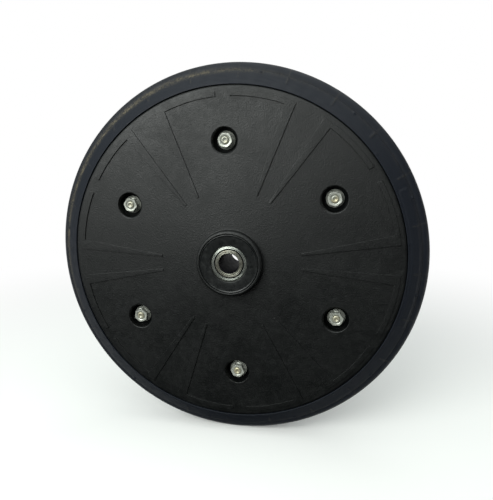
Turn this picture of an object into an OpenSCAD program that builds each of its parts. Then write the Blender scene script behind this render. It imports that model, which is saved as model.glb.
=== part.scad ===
// Planter press wheel
// Two like moulded half rims are bolted together and grip the foot of a rubber tyre.
// Two sealed ball bearings, held apart by a spacer, carry the rims on a steel bush
// that stays still on the axle bolt.
// The wheel turns about Y, Z is up, the front half faces -Y and the origin is the
// middle of the wheel. Lengths are millimetres and angles are degrees.

/* [Wheel] */
// Diameter over the tread
tread_d = 304.8; // [296:0.2:330]
// Diameter of the half rims at their edge
rim_d = 269.8; // [262:0.2:278]
// Width over the edges of the two half rims
rim_w = 27; // [25:0.5:31]
// Turn of the wheel from one bolt straight up
rest_turn = 2.74; // [0:0.01:60]

/* [Tyre] */
// Depth of the tyre's foot below the edge of the rim
foot_depth = 15.9; // [13:0.1:18]
// How much wider the foot is at its root, on each side
bead_lock = 1; // [0.4:0.1:1.6]
// Height of the round crown above the shoulder ridge
crown_h = 5; // [4:0.1:6]
// Radius of the round crown across the tread
crown_r = 6.2; // [6:0.1:7]
// Width of the ledge between the shoulder ridge and the crown
ridge_w = 0.5; // [0.2:0.1:1]
// How far the sidewall stays inside the edge of the rim, on each side
side_inset = 0.3; // [0:0.1:1]
// Rounding of the sidewall where it starts beside the rim
side_round = 1; // [0.4:0.1:1.5]
// Diameter of the air chamber inside the tyre
chamber_d = 10; // [6:0.5:12]
// Width of the slot that opens the chamber to the rim
slot_w = 3; // [2:0.5:4]
// Gap between the tyre and the half rims
tyre_gap = 0.1; // [0.05:0.05:0.3]

/* [Half rims] */
// Rise of the disc from the edge of the rim to the hub boss
dish_rise = 5.3; // [4:0.1:6]
// Wall of the disc
disc_wall = 4; // [3:0.1:5]
// Wall of the flange beside the tyre, at the edge of the rim
flange_wall = 3.8; // [3:0.1:5]
// Rounding of the outer edge of the flange
edge_round = 2.4; // [1:0.1:2.8]
// Wall of the band under the tyre
band_wall = 4; // [3:0.1:5]
// Width of the stiffeners behind the disc
stiffener_w = 3; // [2:0.1:4]
// Gap of the stiffeners to the plane where the halves meet
stiffener_gap = 3; // [2:0.1:5]

/* [Hub boss] */
// Diameter of the boss that stands out of the disc
boss_d = 52.6; // [52:0.1:60]
// Height of the boss over the face of the bearing
boss_lip = 1.9; // [1.6:0.1:2.4]
// Rounding of the boss, as far as its wall allows
boss_round = 2; // [1:0.1:2]
// Hollow rounding at the foot of the boss
boss_cove = 0.8; // [0.8:0.1:2]
// Wall of the tube round the bearing behind the disc
hub_wall = 5.5; // [4:0.1:8]
// Width of the shoulder behind the bearing
shoulder_w = 2.9; // [2:0.1:3.2]
// Chamfer at the mouth of the bearing pocket
mouth_chamfer = 0.4; // [0.2:0.1:0.8]

/* [Panel ribs] */
// Height of the low ribs on the disc
rib_h = 0.9; // [0.5:0.1:1.5]
// Radius where the side ribs start
rib_start_r = 56.7; // [45:0.1:70]
// Plain band between the ribs and the edge of the rim
rib_margin = 4.6; // [4:0.1:8]
// Half of the angle between the side ribs of two neighbouring panels
spoke_half = 5.1; // [3:0.1:8]
// Width of a side rib where it starts
rib_w_in = 1.7; // [1:0.1:3]
// Width of a side rib at its outer end
rib_w_out = 8; // [5:0.1:10]
// Width of the arc ribs
arc_rib_w = 3.7; // [2:0.1:6]
// Half of the angle left open between the two arc ribs of a panel
arc_gap_half = 2.5; // [1.5:0.1:6]

/* [Clamp bolts] */
// Number of bolts
bolt_count = 6; // [5:1:7]
// Diameter of the bolt circle
bolt_circle_d = 189; // [176:0.5:196]
// Thread diameter of the bolts
bolt_d = 6; // [5:0.5:6]
// Radial room of the bolts in their holes
bolt_room = 0.3; // [0.2:0.05:0.5]
// Diameter of the recess round a nut or a head
recess_d = 19.7; // [18:0.1:21]
// Depth of the recess below the disc
recess_depth = 7.7; // [7:0.1:9]
// Chamfer at the mouth of the recess
recess_chamfer = 0.8; // [0.3:0.1:1.2]
// Wall of the tube round the recess
recess_wall = 2.6; // [2:0.1:3]
// Width across the flats of a nut
nut_af = 10; // [9:0.1:11]
// Width across the flats of a bolt head
head_af = 8; // [7:0.1:10]
// Height of a nut or a head
nut_h = 6; // [5:0.1:6.4]
// Diameter of the flange on a nut or a head
nut_flange_d = 14.2; // [13:0.1:15]
// Height of the flange's rim
nut_flange_h = 1.2; // [0.8:0.1:1.6]
// Height of a bolt end above its nut
bolt_end = 0.6; // [0.4:0.1:1]
// Radial gap between the bolt and nut threads
thread_gap = 0.05; // [0.02:0.01:0.1]

/* [Bearings] */
// Bore of a bearing
bearing_bore = 25; // [24:0.1:26]
// Outside diameter of a bearing
bearing_od = 47; // [46:0.1:48]
// Width of a bearing
bearing_w = 12; // [11.6:0.1:14]
// Diameter of a ball
ball_d = 6.75; // [6:0.05:7]
// Number of balls in a bearing
ball_count = 10; // [8:1:11]
// Gap between a ball and each raceway
race_gap = 0.06; // [0.03:0.01:0.1]
// Height of an inner or outer shoulder over the bottom of its raceway
shoulder_h = 1.3; // [1:0.05:1.6]
// Chamfer on the corners of the rings
ring_chamfer = 0.5; // [0.3:0.1:0.8]
// Thickness of a seal
seal_w = 1.2; // [0.8:0.1:1.4]
// How far a seal lies inside the face of its bearing
seal_inset = 0.3; // [0.2:0.1:0.5]
// Depth of the outer ring's step that holds a seal
seal_step = 0.8; // [0.5:0.1:1.2]
// Radial running gap of a seal lip on the inner ring
lip_gap = 0.05; // [0.02:0.01:0.1]
// Wall of the cage across the balls
cage_wall = 2.2; // [1.6:0.1:2.4]
// Room of a ball in its cage pocket
cage_room = 0.15; // [0.1:0.05:0.3]
// Radial fit gap of rings and caps in their seats
seat_gap = 0.02; // [0.01:0.01:0.05]

/* [Axle bush] */
// Bore for the axle bolt
bush_bore = 16.3; // [15:0.1:18]
// Length of the bush between the clamping faces
bush_len = 46.2; // [41:0.1:48]
// Chamfer on the outer edges of the bush
bush_chamfer = 0.8; // [0.2:0.1:0.8]
// Chamfer on the edges of the bore
bore_chamfer = 0.6; // [0.1:0.1:0.6]
// Wall of the spacer between the inner rings
spacer_wall = 2.6; // [2:0.1:3.2]

/* [Dust caps] */
// Hole of a dust cap at its outer face
cap_hole_d = 29.2; // [28:0.1:32]
// Width of the slope round the hole
cap_slope_w = 1.2; // [0.4:0.1:1.4]
// Height of a dust cap
cap_h = 1.6; // [1.2:0.1:1.6]
// Running gap of the cap over the inner ring
cap_relief = 0.4; // [0.3:0.1:0.6]
// Width of the foot that rests on the outer ring
cap_foot_w = 1.9; // [1.2:0.1:2.2]
// Chamfer on the outer edge of the cap
cap_chamfer = 0.5; // [0.2:0.1:0.6]

/* [Hidden] */
// Smoothness of round shapes
$fn = 128;
// Steps along small roundings, the crown, the air chamber and the arc ribs
round_steps = 6;
crown_steps = 16;
chamber_steps = 16;
arc_steps = 8;
// Overlap that joins shapes of one solid
join = 0.4;
// Reach of a cut past the face that it opens
past = 1;
// Angle of one corner of each nut, as the nuts were left when tightened
nut_turns = [46, 49, 18, 51, 0, 40];

tread_r = tread_d / 2;
rim_r = rim_d / 2;
rim_half = rim_w / 2;
boss_r = boss_d / 2;
bolt_circle_r = bolt_circle_d / 2;
panel_step = 360 / bolt_count;

// Tyre and the channel that holds its foot
seat_r = rim_r - foot_depth;
band_r = seat_r - band_wall;
channel_out = rim_half - flange_wall;
channel_in = channel_out + bead_lock;
ridge_r = tread_r - crown_h;
ridge_half = sqrt(pow(crown_r, 2) - pow(crown_r - crown_h, 2)) + ridge_w;
side_half = rim_half - side_inset;
side_r = rim_r + tyre_gap;

// Disc of the half rim: a shallow cone
face_tilt = atan(dish_rise / (rim_r - boss_r));
function face_z(r) = rim_half + dish_rise * (rim_r - r) / (rim_r - boss_r);
edge_c = [rim_r - edge_round, face_z(rim_r - edge_round) - edge_round / cos(face_tilt)];

// Hub stack along the axle
bush_half = bush_len / 2;
bearing_out = bush_half;
bearing_in = bearing_out - bearing_w;
bearing_mid = bearing_out - bearing_w / 2;
boss_top = bearing_out + boss_lip;
pocket_r = bearing_od / 2 + seat_gap;
shoulder_r = pocket_r - shoulder_w;
hub_r = pocket_r + hub_wall;

// Bearing raceways
ball_r = ball_d / 2;
pitch_r = (bearing_bore + bearing_od) / 4;
groove_r = 1.04 * ball_r;
inner_groove_c = pitch_r - ball_r - race_gap + groove_r;
outer_groove_c = pitch_r + ball_r + race_gap - groove_r;
inner_land_r = pitch_r - ball_r - race_gap + shoulder_h;
outer_land_r = pitch_r + ball_r + race_gap - shoulder_h;
seal_out = bearing_w / 2 - seal_inset;
seal_in = seal_out - seal_w;
seal_seat_r = outer_land_r + seal_step;

// Clamp bolts
recess_r = recess_d / 2;
recess_floor = face_z(bolt_circle_r) - recess_depth;
nut_top = recess_floor + nut_h;
bolt_tip = nut_top + bolt_end;
bolt_hole_r = bolt_d / 2 + bolt_room;

// Points of an arc from angle a0 to angle a1
function arc(c, r, a0, a1, steps) =
    [for (i = [0 : steps]) c + r * [cos(a0 + (a1 - a0) * i / steps), sin(a0 + (a1 - a0) * i / steps)]];

// Places: each shape is drawn with the axle along its own Z, outer side up
module front_side() { rotate([90, -rest_turn, 0]) children(); }
module rear_side() { front_side() rotate([0, 180, 0]) children(); }

module at_bolts() {
    for (i = [0 : bolt_count - 1])
        rotate(90 + i * panel_step)
            translate([bolt_circle_r, 0, 0])
                children();
}

// Outline of one side of the tyre, in radius and height over the middle plane:
// air chamber, slot, foot, sidewall, shoulder ridge and crown
function tyre_side() =
    let (
        chamber_r = chamber_d / 2,
        round_c = [side_r + side_round, side_half - side_round],
        side_tilt = atan((side_half - ridge_half) / (ridge_r - side_r)),
        crown_c = [tread_r - crown_r, 0]
    )
    concat(
        arc([side_r, 0], chamber_r, 0, 180 - asin(slot_w / chamber_d), chamber_steps),
        [[seat_r + tyre_gap, slot_w / 2]],
        [[seat_r + tyre_gap, channel_in - 2 * tyre_gap]],
        [[side_r, channel_out - tyre_gap]],
        arc(round_c, side_round, 180, 90 - side_tilt, round_steps),
        [[ridge_r, ridge_half]],
        arc(crown_c, crown_r, acos((crown_r - crown_h) / crown_r), 0, crown_steps)
    );

module tyre() {
    side = tyre_side();
    other_side = [for (i = [len(side) - 2 : -1 : 1]) [side[i].x, -side[i].y]];
    color("#1d2023")
        front_side()
            rotate_extrude()
                polygon(concat(side, other_side));
}

// Outline of a half rim: hub tube, disc, band under the tyre, flange, boss and pocket
function half_rim_outline() =
    let (
        cove_r = boss_r + boss_cove,
        cove_c = [cove_r, face_z(cove_r) + boss_cove / cos(face_tilt)],
        boss_edge = min(boss_round, boss_r - pocket_r - mouth_chamfer),
        round_c = [boss_r - boss_edge, boss_top - boss_edge]
    )
    concat(
        [[shoulder_r, 0], [hub_r, 0]],
        [[hub_r, face_z(hub_r) - disc_wall], [band_r, face_z(band_r) - disc_wall]],
        [[band_r, 0], [seat_r, 0], [seat_r, channel_in], [rim_r, channel_out]],
        arc(edge_c, edge_round, 0, 90 - face_tilt, round_steps),
        arc(cove_c, boss_cove, 270 - face_tilt, 180, round_steps),
        arc(round_c, boss_edge, 0, 90, round_steps),
        [[pocket_r + mouth_chamfer, boss_top], [pocket_r, boss_top - mouth_chamfer]],
        [[pocket_r, bearing_in], [shoulder_r, bearing_in]]
    );

// Straight stiffeners behind the disc, under the bolts and between them
module stiffeners() {
    intersection() {
        for (i = [0 : 2 * bolt_count - 1])
            rotate(90 + i * panel_step / 2)
                translate([hub_r - join, -stiffener_w / 2, stiffener_gap])
                    cube([band_r - hub_r + 2 * join, stiffener_w, boss_top]);
        rotate_extrude()
            polygon([
                [shoulder_r, 0],
                [seat_r, 0],
                [seat_r, face_z(seat_r) - disc_wall + join],
                [shoulder_r, face_z(shoulder_r) - disc_wall + join]
            ]);
    }
}

// Outline of one side rib with its arc rib, for a panel that lies along X
function rib_outline() =
    let (
        side_a = panel_step / 2 - spoke_half,
        out_r = rim_r - rib_margin,
        in_r = out_r - arc_rib_w,
        start_a = side_a - rib_w_in / rib_start_r * 180 / PI,
        corner_a = side_a - rib_w_out / out_r * 180 / PI
    )
    concat(
        [rib_start_r * [cos(start_a), sin(start_a)]],
        arc([0, 0], in_r, corner_a, arc_gap_half, arc_steps),
        arc([0, 0], out_r, arc_gap_half, side_a, arc_steps),
        [rib_start_r * [cos(side_a), sin(side_a)]]
    );

// Low ribs on the disc, which follow its cone
module panel_ribs() {
    intersection() {
        for (i = [0 : bolt_count - 1])
            rotate(90 + i * panel_step)
                for (side = [0, 1])
                    mirror([0, side, 0])
                        linear_extrude(2 * boss_top)
                            polygon(rib_outline());
        rotate_extrude()
            polygon([
                [boss_r, face_z(boss_r) - join],
                [boss_r, face_z(boss_r) + rib_h],
                [rim_r, face_z(rim_r) + rib_h],
                [rim_r, face_z(rim_r) - join]
            ]);
    }
}

module bolt_tubes() {
    at_bolts()
        cylinder(r = recess_r + recess_wall, h = face_z(bolt_circle_r) - disc_wall / 2);
}

module bolt_cuts() {
    mouth = face_z(bolt_circle_r) - 2 * recess_chamfer;
    at_bolts() {
        translate([0, 0, -past]) cylinder(r = bolt_hole_r, h = boss_top);
        translate([0, 0, recess_floor]) cylinder(r = recess_r, h = boss_top);
        translate([0, 0, mouth])
            cylinder(
                r1 = recess_r - recess_chamfer,
                r2 = recess_r + 2 * recess_chamfer,
                h = 3 * recess_chamfer
            );
    }
}

module half_rim() {
    difference() {
        union() {
            rotate_extrude() polygon(half_rim_outline());
            stiffeners();
            bolt_tubes();
            panel_ribs();
        }
        bolt_cuts();
    }
}

module front_half_rim() { color("#26282a") front_side() half_rim(); }
module rear_half_rim() { color("#26282a") rear_side() half_rim(); }

// Hexagon on a flange, flange face down, with its top corners bevelled
module flange_hex(af) {
    corner_r = af / 2 / cos(30);
    bevel = corner_r - af / 2;
    intersection() {
        cylinder(r = corner_r, h = nut_h, $fn = 6);
        rotate_extrude()
            polygon([
                [0, 0],
                [corner_r, 0],
                [corner_r, nut_h - bevel / 2],
                [corner_r - bevel, nut_h],
                [0, nut_h]
            ]);
    }
    cylinder(d = nut_flange_d, h = nut_flange_h);
    translate([0, 0, nut_flange_h])
        cylinder(d1 = nut_flange_d, d2 = af, h = nut_flange_h);
}

module clamp_nuts() {
    color("#c9ccc8")
        front_side()
            for (i = [0 : bolt_count - 1])
                rotate(90 + i * panel_step)
                    translate([bolt_circle_r, 0, recess_floor])
                        difference() {
                            rotate(nut_turns[i % len(nut_turns)] - 90 - i * panel_step)
                                flange_hex(nut_af);
                            translate([0, 0, -past])
                                cylinder(r = bolt_d / 2 + thread_gap, h = nut_h + 2 * past);
                        }
}

// Bolts: flange heads in the rear recesses and rounded ends in the nuts
module clamp_bolts() {
    bolt_r = bolt_d / 2;
    dome_r = (pow(bolt_r, 2) + pow(bolt_end, 2)) / (2 * bolt_end);
    dome_a = asin(bolt_r / dome_r);
    color("#c9ccc8")
        front_side()
            at_bolts() {
                translate([0, 0, -recess_floor]) mirror([0, 0, 1]) flange_hex(head_af);
                rotate_extrude()
                    polygon(concat(
                        [[0, -recess_floor - join], [bolt_r, -recess_floor - join]],
                        arc([0, bolt_tip - dome_r], dome_r, 90 - dome_a, 90, round_steps)
                    ));
            }
}

module axle_bush() {
    outer_r = bearing_bore / 2 - seat_gap;
    bore_r = bush_bore / 2;
    color("#b9ab8c")
        front_side()
            rotate_extrude()
                polygon([
                    [bore_r, -bush_half + bore_chamfer],
                    [bore_r + bore_chamfer, -bush_half],
                    [outer_r - bush_chamfer, -bush_half],
                    [outer_r, -bush_half + bush_chamfer],
                    [outer_r, bush_half - bush_chamfer],
                    [outer_r - bush_chamfer, bush_half],
                    [bore_r + bore_chamfer, bush_half],
                    [bore_r, bush_half - bore_chamfer]
                ]);
}

module inner_spacer() {
    color("#9aa0a4")
        front_side()
            difference() {
                translate([0, 0, -bearing_in])
                    cylinder(r = bearing_bore / 2 + spacer_wall, h = 2 * bearing_in);
                translate([0, 0, -bearing_in - past])
                    cylinder(d = bearing_bore, h = 2 * (bearing_in + past));
            }
}

// Bearing pieces, drawn about the middle of a bearing
module outer_ring() {
    half = bearing_w / 2;
    outer_r = bearing_od / 2;
    rotate_extrude()
        difference() {
            polygon([
                [outer_land_r, -seal_in],
                [seal_seat_r, -seal_in],
                [seal_seat_r, -half],
                [outer_r - ring_chamfer, -half],
                [outer_r, -half + ring_chamfer],
                [outer_r, half - ring_chamfer],
                [outer_r - ring_chamfer, half],
                [seal_seat_r, half],
                [seal_seat_r, seal_in],
                [outer_land_r, seal_in]
            ]);
            translate([outer_groove_c, 0]) circle(groove_r);
        }
}

module inner_ring() {
    half = bearing_w / 2;
    bore_r = bearing_bore / 2;
    rotate_extrude()
        difference() {
            polygon([
                [bore_r, -half + ring_chamfer],
                [bore_r + ring_chamfer, -half],
                [inner_land_r, -half],
                [inner_land_r, half],
                [bore_r + ring_chamfer, half],
                [bore_r, half - ring_chamfer]
            ]);
            translate([inner_groove_c, 0]) circle(groove_r);
        }
}

module balls() {
    for (i = [0 : ball_count - 1])
        rotate(i * 360 / ball_count)
            translate([pitch_r, 0, 0])
                sphere(ball_r);
}

// Snap cage: a ring on the inboard side whose fingers reach between the balls
module cage() {
    back = seal_in - cage_room;
    finger = ball_r / 2;
    difference() {
        translate([0, 0, -back]) cylinder(r = pitch_r + cage_wall / 2, h = back + finger);
        translate([0, 0, -back - past])
            cylinder(r = pitch_r - cage_wall / 2, h = back + finger + 2 * past);
        for (i = [0 : ball_count - 1])
            rotate(i * 360 / ball_count)
                translate([pitch_r, 0, 0])
                    sphere(ball_r + cage_room);
    }
}

module seal() {
    difference() {
        translate([0, 0, seal_in]) cylinder(r = seal_seat_r - seat_gap, h = seal_w);
        translate([0, 0, seal_in - past])
            cylinder(r = inner_land_r + lip_gap, h = seal_w + 2 * past);
    }
}

// Dust cap: a thin ring whose foot rests on the outer ring of the bearing
module dust_cap() {
    outer_r = pocket_r - seat_gap;
    foot_r = outer_r - cap_foot_w;
    rotate_extrude()
        polygon([
            [cap_hole_d / 2 - cap_slope_w, bearing_out + cap_relief],
            [foot_r, bearing_out + cap_relief],
            [foot_r, bearing_out],
            [outer_r, bearing_out],
            [outer_r, bearing_out + cap_h - cap_chamfer],
            [outer_r - cap_chamfer, bearing_out + cap_h],
            [cap_hole_d / 2, bearing_out + cap_h]
        ]);
}

module in_bearing() { translate([0, 0, bearing_mid]) children(); }

module front_outer_ring() { color("#aab0b4") front_side() in_bearing() outer_ring(); }
module front_inner_ring() { color("#c3cacd") front_side() in_bearing() inner_ring(); }
module front_balls() { color("#d8dcde") front_side() in_bearing() balls(); }
module front_cage() { color("#6d5a3c") front_side() in_bearing() cage(); }
module front_outboard_seal() { color("#202225") front_side() in_bearing() seal(); }
module front_inboard_seal() { color("#202225") front_side() in_bearing() mirror([0, 0, 1]) seal(); }
module front_dust_cap() { color("#2a2f33") front_side() dust_cap(); }

module rear_outer_ring() { color("#aab0b4") rear_side() in_bearing() outer_ring(); }
module rear_inner_ring() { color("#c3cacd") rear_side() in_bearing() inner_ring(); }
module rear_balls() { color("#d8dcde") rear_side() in_bearing() balls(); }
module rear_cage() { color("#6d5a3c") rear_side() in_bearing() cage(); }
module rear_outboard_seal() { color("#202225") rear_side() in_bearing() seal(); }
module rear_inboard_seal() { color("#202225") rear_side() in_bearing() mirror([0, 0, 1]) seal(); }
module rear_dust_cap() { color("#2a2f33") rear_side() dust_cap(); }

tyre();
front_half_rim();
rear_half_rim();
clamp_bolts();
clamp_nuts();
axle_bush();
inner_spacer();
front_outer_ring();
front_inner_ring();
front_balls();
front_cage();
front_outboard_seal();
front_inboard_seal();
front_dust_cap();
rear_outer_ring();
rear_inner_ring();
rear_balls();
rear_cage();
rear_outboard_seal();
rear_inboard_seal();
rear_dust_cap();
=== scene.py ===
"""Looks of a planter press wheel: rubber tyre, moulded half rims, plated fasteners, hub and a plain studio.

The wheel turns about Y, Z is up and the front faces -Y. A place on the wheel is given by its radius,
its height along the axle (positive to the front) and its angle from +X towards +Z.
"""
import math

import bpy
import numpy as np
from mathutils import Matrix, Vector


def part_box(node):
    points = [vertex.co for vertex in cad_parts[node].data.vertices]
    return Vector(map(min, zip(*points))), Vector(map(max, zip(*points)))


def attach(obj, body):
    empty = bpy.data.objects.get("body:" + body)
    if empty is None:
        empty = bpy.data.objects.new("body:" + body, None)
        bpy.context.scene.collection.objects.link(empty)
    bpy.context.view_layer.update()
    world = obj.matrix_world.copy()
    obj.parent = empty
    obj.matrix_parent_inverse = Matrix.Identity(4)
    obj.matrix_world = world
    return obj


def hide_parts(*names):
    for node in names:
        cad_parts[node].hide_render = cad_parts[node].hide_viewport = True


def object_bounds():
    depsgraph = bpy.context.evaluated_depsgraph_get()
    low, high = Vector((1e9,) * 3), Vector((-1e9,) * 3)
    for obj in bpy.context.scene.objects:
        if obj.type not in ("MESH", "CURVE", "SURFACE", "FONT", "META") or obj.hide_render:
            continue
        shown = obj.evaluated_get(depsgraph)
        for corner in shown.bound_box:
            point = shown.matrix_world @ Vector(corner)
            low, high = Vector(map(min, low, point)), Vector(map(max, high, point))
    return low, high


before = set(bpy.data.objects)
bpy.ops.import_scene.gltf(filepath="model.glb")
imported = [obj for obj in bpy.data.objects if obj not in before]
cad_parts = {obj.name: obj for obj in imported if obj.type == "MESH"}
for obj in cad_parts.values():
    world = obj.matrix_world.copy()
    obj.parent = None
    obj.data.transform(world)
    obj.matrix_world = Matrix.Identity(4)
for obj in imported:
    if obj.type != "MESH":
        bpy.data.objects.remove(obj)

bl_info = {
    "name": "Planter press wheel",
    "version": (1, 0, 0),
    "blender": (4, 5, 0),
    "location": "3D View > Sidebar > Press Wheel",
    "description": "Surfaces, materials and studio of a planter press wheel",
    "category": "Object",
}

MM = 0.001

# Sizes of the solids that the surfaces have to meet
CAD_BOX = [list(corner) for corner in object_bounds()]
TREAD_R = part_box("tyre")[1].z
BUSH_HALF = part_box("axle_bush")[1].y
BUSH_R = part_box("axle_bush")[1].x
CAP_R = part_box("front_dust_cap")[1].x
CAP_TOP = -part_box("front_dust_cap")[0].y
NUT_TOP = -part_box("clamp_nuts")[0].y
NUT_FLOOR = -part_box("clamp_nuts")[1].y
BOLT_TIP = -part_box("clamp_bolts")[0].y
HEAD_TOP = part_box("clamp_bolts")[1].y

# Angles on the wheel in degrees, and those of the bolts and of the nuts' corners in radians
BOLTS = 6
WHEEL_TURN = 2.74
NUT_TURNS = np.array([46, 49, 18, 51, 0, 40])
BOLT_ANGLES = np.radians(90 + WHEEL_TURN + 360 / BOLTS * np.arange(BOLTS))
NUT_CORNERS = np.radians(WHEEL_TURN + NUT_TURNS)
PLATE_ANGLE = 2.5
VENT_ANGLES = 21.3 + 30 * np.arange(12)
ROOT_VENT_ANGLES = 8.0 + 30 * np.arange(12)
TICK_ANGLES = 13.0 + 15 * np.arange(24)
SOIL_ANGLE = 140

# The camera that fits the photograph
CAMERA_PLACE = (80.43 * MM, -370.53 * MM, 86.46 * MM)
CAMERA_HEADING = math.radians(10.817)
CAMERA_CLIMB = math.radians(11.935)
CAMERA_LENS = 33.826
CAMERA_SENSOR = 36

# Points round each kind of turned piece
TYRE_POINTS = 1000
HUB_POINTS = 160
NUT_POINTS = 96
BOLT_POINTS = 60

# Edges that turn by more than this are corners
CORNER_ANGLE = math.radians(32)

# Sockets of a Mix node for colours and for plain numbers, whose names aren't unique
MIX_A, MIX_B, MIX_RESULT = 6, 7, 2
MIX_NUMBER_A, MIX_NUMBER_B = 2, 3


def linear(hex_colour):
    """Linear colour of an sRGB hex value."""
    srgb = np.array([int(hex_colour[i:i + 2], 16) for i in (1, 3, 5)]) / 255
    return tuple(np.where(srgb <= 0.04045, srgb / 12.92, ((srgb + 0.055) / 1.055) ** 2.4))


def size(label, default, note):
    """A length that a user may change, in metres."""
    return bpy.props.FloatProperty(
        name=label, description=note, default=default, subtype="DISTANCE", unit="LENGTH", precision=5)


def colour(label, hex_colour, note):
    """A colour that a user may change."""
    return bpy.props.FloatVectorProperty(
        name=label, description=note, default=linear(hex_colour), size=3, min=0, max=1, subtype="COLOR")


class PressWheelSizes(bpy.types.PropertyGroup):
    """Sizes of the modelled surfaces"""
    tread_r: size("Tread radius", TREAD_R, "Radius over the tread")
    crown_r: size("Crown radius", 6.2 * MM, "Radius of the crown across the tread")
    ridge_r: size("Ridge radius", 145.8 * MM, "Radius of the shoulder ridge")
    ridge_half: size("Ridge half width", 7.43 * MM, "Height of the shoulder ridge over the middle plane")
    ridge_edge: size("Ridge edge", 0.35 * MM, "Width of the facet along the shoulder ridge")
    side_r: size("Sidewall root radius", 135.0 * MM, "Radius where the sidewall starts beside the rim")
    side_half: size("Sidewall half width", 13.2 * MM, "Height of the sidewall root over the middle plane")
    side_round: size("Sidewall rounding", 0.4 * MM, "Rounding of the sidewall beside the rim")
    seat_r: size("Seat radius", 119.1 * MM, "Radius of the tyre's foot")
    foot_half: size("Foot half width", 10.5 * MM, "Height of the foot at its root")
    neck_half: size("Neck half width", 9.6 * MM, "Height of the foot beside the flange")
    chamber_r: size("Chamber radius", 5.0 * MM, "Radius of the air chamber")
    slot_half: size("Slot half width", 1.5 * MM, "Half width of the slot under the chamber")
    plate_h: size("Plate height", 0.45 * MM, "Height of the bare plate on the sidewall")
    plate_in_r: size("Plate inner radius", 137.3 * MM, "Radius where the bare plate starts")
    plate_mid_r: size("Plate middle radius", 140.8 * MM, "Radius where the bare plate is longest")
    plate_out_r: size("Plate outer radius", 144.4 * MM, "Radius where the bare plate ends")
    plate_half: size("Plate half length", 57.4 * MM, "Half the length of the bare plate along the ridge")
    plate_edge: size("Plate edge", 0.6 * MM, "Width of the slope along the bare plate's long edges")
    plate_end: size("Plate end", 1.4 * MM, "Width of the slope at the bare plate's ends")
    vent_h: size("Vent nub height", 1.0 * MM, "Height of the mould's vent nubs")
    vent_w: size("Vent nub width", 0.8 * MM, "Half width of the mould's vent nubs")
    vent_inset: size("Vent nub inset", 0.4 * MM, "Distance of the vent nubs inside the shoulder ridge")
    root_vent_r: size("Root vent radius", 136.6 * MM, "Radius of the low vent nubs beside the rim")
    tick_h: size("Tick height", 0.4 * MM, "Height of the mould's ticks across the sidewall")
    tick_w: size("Tick width", 0.7 * MM, "Half width of the mould's ticks")
    tick_r: size("Tick radius", 139 * MM, "Radius where the mould's ticks start")
    tick_rise: size("Tick rise", 2 * MM, "Length over which the mould's ticks rise")
    waviness: size("Sidewall waviness", 0.2 * MM, "Slow waves of the sidewall round the wheel")
    soil_w: size("Soil width", 1.6 * MM, "Half width of the band of soil along the ridge")
    bolt_circle_r: size("Bolt circle radius", 94.5 * MM, "Radius of the circle of bolts")
    bolt_r: size("Bolt radius", 3.0 * MM, "Thread radius of the bolts")
    thread_pitch: size("Thread pitch", 1.0 * MM, "Pitch of the bolt threads")
    thread_depth: size("Thread depth", 0.45 * MM, "Depth of the bolt threads")
    nut_flat: size("Nut flat distance", 5.0 * MM, "Distance of a nut's flats from its axis")
    head_flat: size("Head flat distance", 4.0 * MM, "Distance of a head's flats from its axis")
    flange_r: size("Flange radius", 7.1 * MM, "Radius of the flange on nuts and heads")
    flange_h: size("Flange height", 1.2 * MM, "Height of the flange's rim")
    flange_round: size("Flange rounding", 0.4 * MM, "Rounding of the flange's rim")
    hexagon_h: size("Hexagon root height", 1.9 * MM, "Height where the flange's slope meets the hexagon")
    recess_r: size("Recess radius", 9.85 * MM, "Radius of the recesses round the nuts and heads")
    bush_bore_r: size("Bush bore radius", 8.15 * MM, "Radius of the axle bore")
    bush_face_r: size("Bush face radius", 11.1 * MM, "Radius of the end face of the bush")
    bush_rim_r: size("Bush rim radius", 11.95 * MM, "Inner radius of the rim over the inner ring's edge")
    bush_groove: size("Bush groove", 1.3 * MM, "Depth of the groove round the end face of the bush")
    ring_chamfer: size("Ring chamfer", 0.5 * MM, "Chamfer of the inner ring that the bush's rim fills")
    cap_hole_r: size("Cap hole radius", 14.6 * MM, "Radius of the hole in a dust cap at its face")
    cap_slope: size("Cap slope width", 0.3 * MM, "Width of the slope round the hole in a dust cap")
    cap_bead: size("Cap bead height", 0.3 * MM, "Height of the bead round the edge of a dust cap")
    cap_bead_w: size("Cap bead width", 0.5 * MM, "Width of the flat on that bead")
    cap_edge: size("Cap edge", 0.4 * MM, "Width of the slopes beside that bead")
    cap_foot_r: size("Cap foot radius", 21.6 * MM, "Inner radius of the foot of a dust cap")
    cap_relief: size("Cap relief", 0.4 * MM, "Running gap of the cap over the inner ring")
    corner_bevel: size("Corner bevel", 0.22 * MM, "Rounding of the moulded corners")


class PressWheelColours(bpy.types.PropertyGroup):
    """Colours of the finishes"""
    plastic: colour("Plastic", "#050707", "Black moulded polypropylene")
    plastic_dust: colour("Plastic dust", "#7d8480", "Dust in the grain of the plastic")
    rubber: colour("Rubber", "#141820", "Black vulcanised rubber")
    soil: colour("Soil", "#6e6653", "Dry soil along the shoulder ridge")
    zinc: colour("Zinc", "#bcbeb6", "Bright zinc plating")
    zinc_tint: colour("Zinc tint", "#a3a59c", "Duller places of the plating")
    bolt_tint: colour("Bolt tint", "#aea78b", "Yellow tint of the plating on the bolts")
    passivate: colour("Passivate", "#6b6453", "Yellow passivated steel of the bush")
    # Painted shade as well as old grease: the near-black of the axle bore and of the groove round the bush
    grease_and_shade: colour("Grease and shade", "#0d0b12", "Old greasy film and painted shade in the axle bore and the groove round the bush")
    ring_steel: colour("Ring steel", "#b3b6ae", "Ground bearing steel")
    ball_steel: colour("Ball steel", "#d4d9db", "Polished balls")
    spacer_steel: colour("Spacer steel", "#8d918b", "Drawn steel of the spacer")
    cage_nylon: colour("Cage nylon", "#6d5a3c", "Nylon of the ball cages")
    seal_rubber: colour("Seal rubber", "#17191b", "Nitrile rubber of the seals")
    cap: colour("Cap", "#070a0a", "Dark dust cap")
    floor: colour("Floor", "#f2f2f0", "Pale studio floor")


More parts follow.
